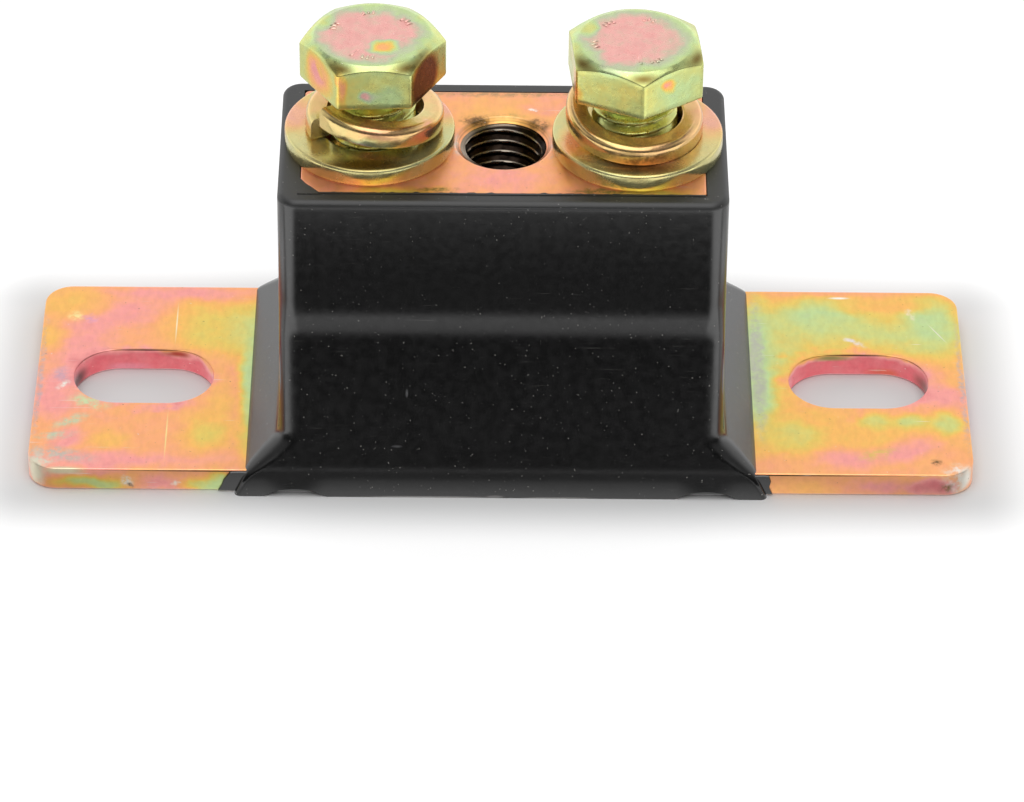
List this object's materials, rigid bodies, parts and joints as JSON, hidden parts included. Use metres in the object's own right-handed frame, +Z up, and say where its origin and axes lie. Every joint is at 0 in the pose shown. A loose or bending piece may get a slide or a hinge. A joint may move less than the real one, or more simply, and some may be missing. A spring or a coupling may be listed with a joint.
{
  "type": "transmission mount",
  "caption": "Rubber block bonded between a slotted steel base plate and a tapped steel top plate that carries hex bolts with spring and flat washers.",
  "frame": {"origin": "centre of the base plate's underside, on the surface that the mount is bolted to", "axes": "+X along the base plate from one slot to the other, +Y across it towards the back, +Z up out of the tapped holes"},
  "size_m": [0.133, 0.0476, 0.0617],
  "materials": {
    "zinc_plate": "yellow zinc plated pressed steel, satin, with pink and green tints and scuffs",
    "zinc_insert": "yellow zinc plated steel, satin, orange to pink",
    "zinc_bolt": "yellow zinc plated forged steel, glossy, pink crown with a green rim",
    "zinc_washer": "yellow zinc plated punched steel, satin",
    "zinc_spring_washer": "yellow zinc plated spring steel, polished outer edge",
    "moulded_rubber": "black moulded rubber, semi-gloss"
  },
  "bodies": {
    "root": {"base_plate": "zinc_plate", "top_plate": "zinc_insert", "rubber_block": "moulded_rubber", "bolt_left": "zinc_bolt", "bolt_right": "zinc_bolt", "flat_washer_left": "zinc_washer", "flat_washer_right": "zinc_washer", "spring_washer_left": "zinc_spring_washer", "spring_washer_right": "zinc_spring_washer"}
  },
  "joints": []
}
